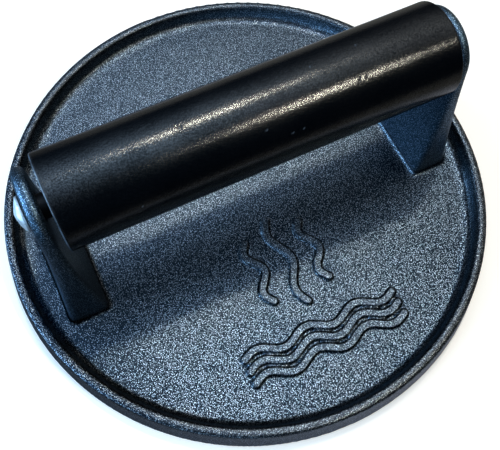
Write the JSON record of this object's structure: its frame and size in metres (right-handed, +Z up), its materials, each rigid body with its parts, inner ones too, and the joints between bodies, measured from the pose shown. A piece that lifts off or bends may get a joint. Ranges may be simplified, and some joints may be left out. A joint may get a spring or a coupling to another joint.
{
  "type": "bacon press",
  "caption": "Round cast-iron bacon press: a flat plate with a raised rim, and a wooden grip that turns on a cross rod between cast uprights.",
  "frame": {"origin": "centre of the flat underside of the plate", "axes": "+Z up out of the plate, X along the handle with +X towards the upright that the grip rests against, -Y on the side of the raised pattern"},
  "size_m": [0.1796, 0.1796, 0.072],
  "materials": {
    "seasoned_iron": "black seasoned sand casting, pebbled, semi-gloss",
    "rod_steel": "bare steel, hammered head",
    "painted_wood": "turned wood, black paint, semi-gloss"
  },
  "bodies": {
    "press": {"press_casting": "seasoned_iron"},
    "rod": {"handle_rod": "rod_steel"},
    "grip": {"handle_grip": "painted_wood"}
  },
  "joints": [
    {"name": "grip_spin", "type": "hinge", "parent": "press", "child": "rod", "pos_m": [0, 0, 0.0566], "axis": [1, 0, 0], "continuous": true},
    {"name": "grip_end_play", "type": "slide", "parent": "rod", "child": "grip", "axis": [1, 0, 0], "range_m": [-0.002, 0]}
  ]
}
